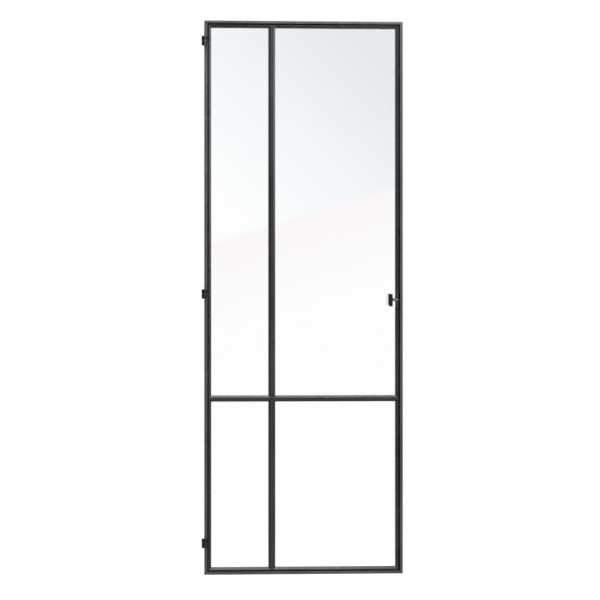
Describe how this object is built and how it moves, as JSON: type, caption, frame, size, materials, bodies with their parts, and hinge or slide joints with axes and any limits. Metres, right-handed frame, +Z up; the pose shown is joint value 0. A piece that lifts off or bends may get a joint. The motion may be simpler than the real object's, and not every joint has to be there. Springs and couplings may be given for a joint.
{
  "type": "hinged glass door with frame",
  "caption": "Slim dark steel glass door: hinged leaf with four clear panes in a fixed frame, barrel hinges at left and a turning handle at right.",
  "frame": {"origin": "on the wall face of the hinge jamb, at floor level and halfway through the frame's depth", "axes": "+X from the hinge side to the lock side, -Y towards the side that the leaf opens to, +Z up"},
  "size_m": [0.773, 0.086, 2.12],
  "materials": {
    "frame": "satin",
    "leaf": "satin",
    "bead": "satin",
    "hinge": "satin",
    "glass": "clear",
    "tape": "matte",
    "neck": "satin",
    "grip": "matte",
    "rose": "satin",
    "bolt": "satin"
  },
  "bodies": {
    "frame": {"frame_head": "frame", "frame_hinge_jamb": "frame", "frame_lock_jamb": "frame", "frame_sill": "frame", "hinge_low_frame_half": "hinge", "hinge_middle_frame_half": "hinge", "hinge_top_frame_half": "hinge"},
    "leaf": {"bead_lower_left_bottom": "bead", "bead_lower_left_left": "bead", "bead_lower_left_right": "bead", "bead_lower_left_top": "bead", "bead_lower_right_bottom": "bead", "bead_lower_right_left": "bead", "bead_lower_right_right": "bead", "bead_lower_right_top": "bead", "bead_upper_left_bottom": "bead", "bead_upper_left_left": "bead", "bead_upper_left_right": "bead", "bead_upper_left_top": "bead", "bead_upper_right_bottom": "bead", "bead_upper_right_left": "bead", "bead_upper_right_right_high": "bead", "bead_upper_right_right_low": "bead", "bead_upper_right_top": "bead", "glass_lower_left": "glass", "glass_lower_right": "glass", "glass_upper_left": "glass", "glass_upper_right": "glass", "glazing_tape_back": "tape", "glazing_tape_front": "tape", "handle_rose": "rose", "hinge_low_leaf_half": "hinge", "hinge_middle_leaf_half": "hinge", "hinge_top_leaf_half": "hinge", "latch_bolt": "bolt", "leaf_bottom_rail": "leaf", "leaf_hinge_stile": "leaf", "leaf_lock_stile": "leaf", "leaf_mullion_lower": "leaf", "leaf_mullion_upper": "leaf", "leaf_top_rail": "leaf", "leaf_transom": "leaf", "lock_block": "leaf"},
    "handle": {"handle_grip": "grip", "handle_neck": "neck"}
  },
  "joints": [
    {"name": "leaf_swing", "type": "hinge", "parent": "frame", "child": "leaf", "pos_m": [-0.00275, -0.03775, 1.074], "axis": [0, 0, -1], "range_deg": [0, 170]},
    {"name": "handle_turn", "type": "hinge", "parent": "leaf", "child": "handle", "pos_m": [0.7395, -0.03, 1.052], "axis": [0, -1, 0], "range_deg": [0, 90]}
  ]
}
